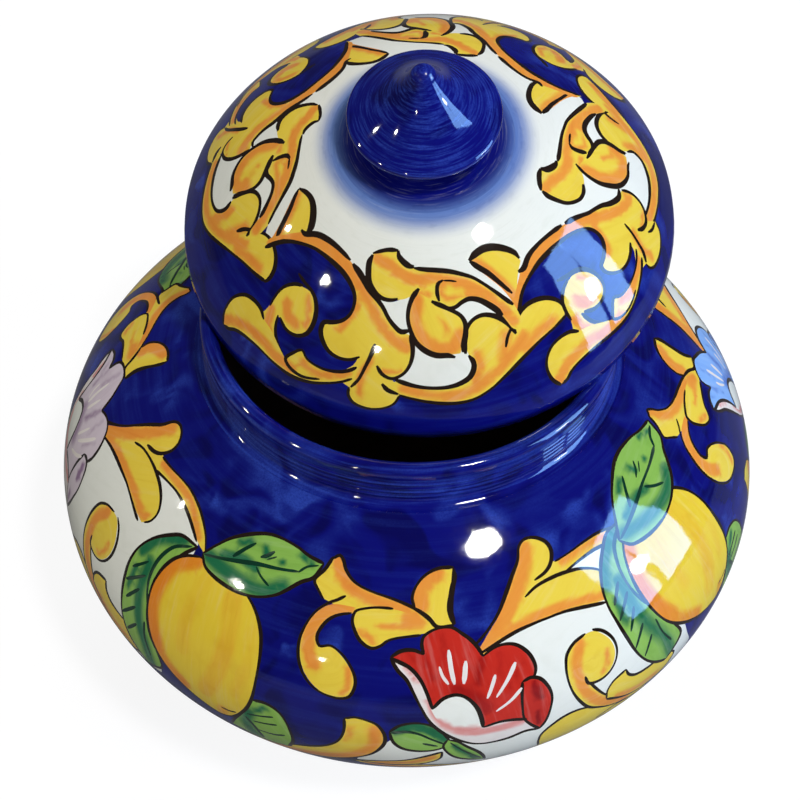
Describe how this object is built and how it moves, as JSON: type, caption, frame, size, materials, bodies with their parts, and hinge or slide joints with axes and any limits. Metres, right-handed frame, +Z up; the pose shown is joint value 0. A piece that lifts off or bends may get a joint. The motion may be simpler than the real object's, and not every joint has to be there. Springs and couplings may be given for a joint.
{
  "type": "biscuit jar",
  "caption": "Squat round-bellied glazed earthenware jar with a short ridged neck and a loose domed lid that lifts off by a pointed knob.",
  "frame": {"origin": "centre of the foot ring on the plane that the jar stands on, which is also the bottom centre of the bounding box", "axes": "+Z up along the jar's own axis, -Y to the front, +X to the right; the lid is slid back towards +Y"},
  "size_m": [0.25, 0.25, 0.2289],
  "materials": {
    "painted_glaze": "gloss tin glaze painted in cobalt, yellow, orange, green and red",
    "cobalt_glaze": "gloss tin glaze brushed all over with cobalt",
    "white_glaze": "gloss white tin glaze",
    "foot_clay": "bare fired earthenware on the standing edge"
  },
  "bodies": {
    "jar": {"jar_body": "painted_glaze", "foot_ring": "foot_clay", "neck_collar": "cobalt_glaze"},
    "lid": {"lid_dome": "painted_glaze", "lid_locating_ring": "white_glaze", "knob": "cobalt_glaze"}
  },
  "joints": [
    {"name": "lid_lift", "type": "slide", "parent": "jar", "child": "lid", "axis": [0, 0, 1], "range_m": [0, 0.12]}
  ]
}
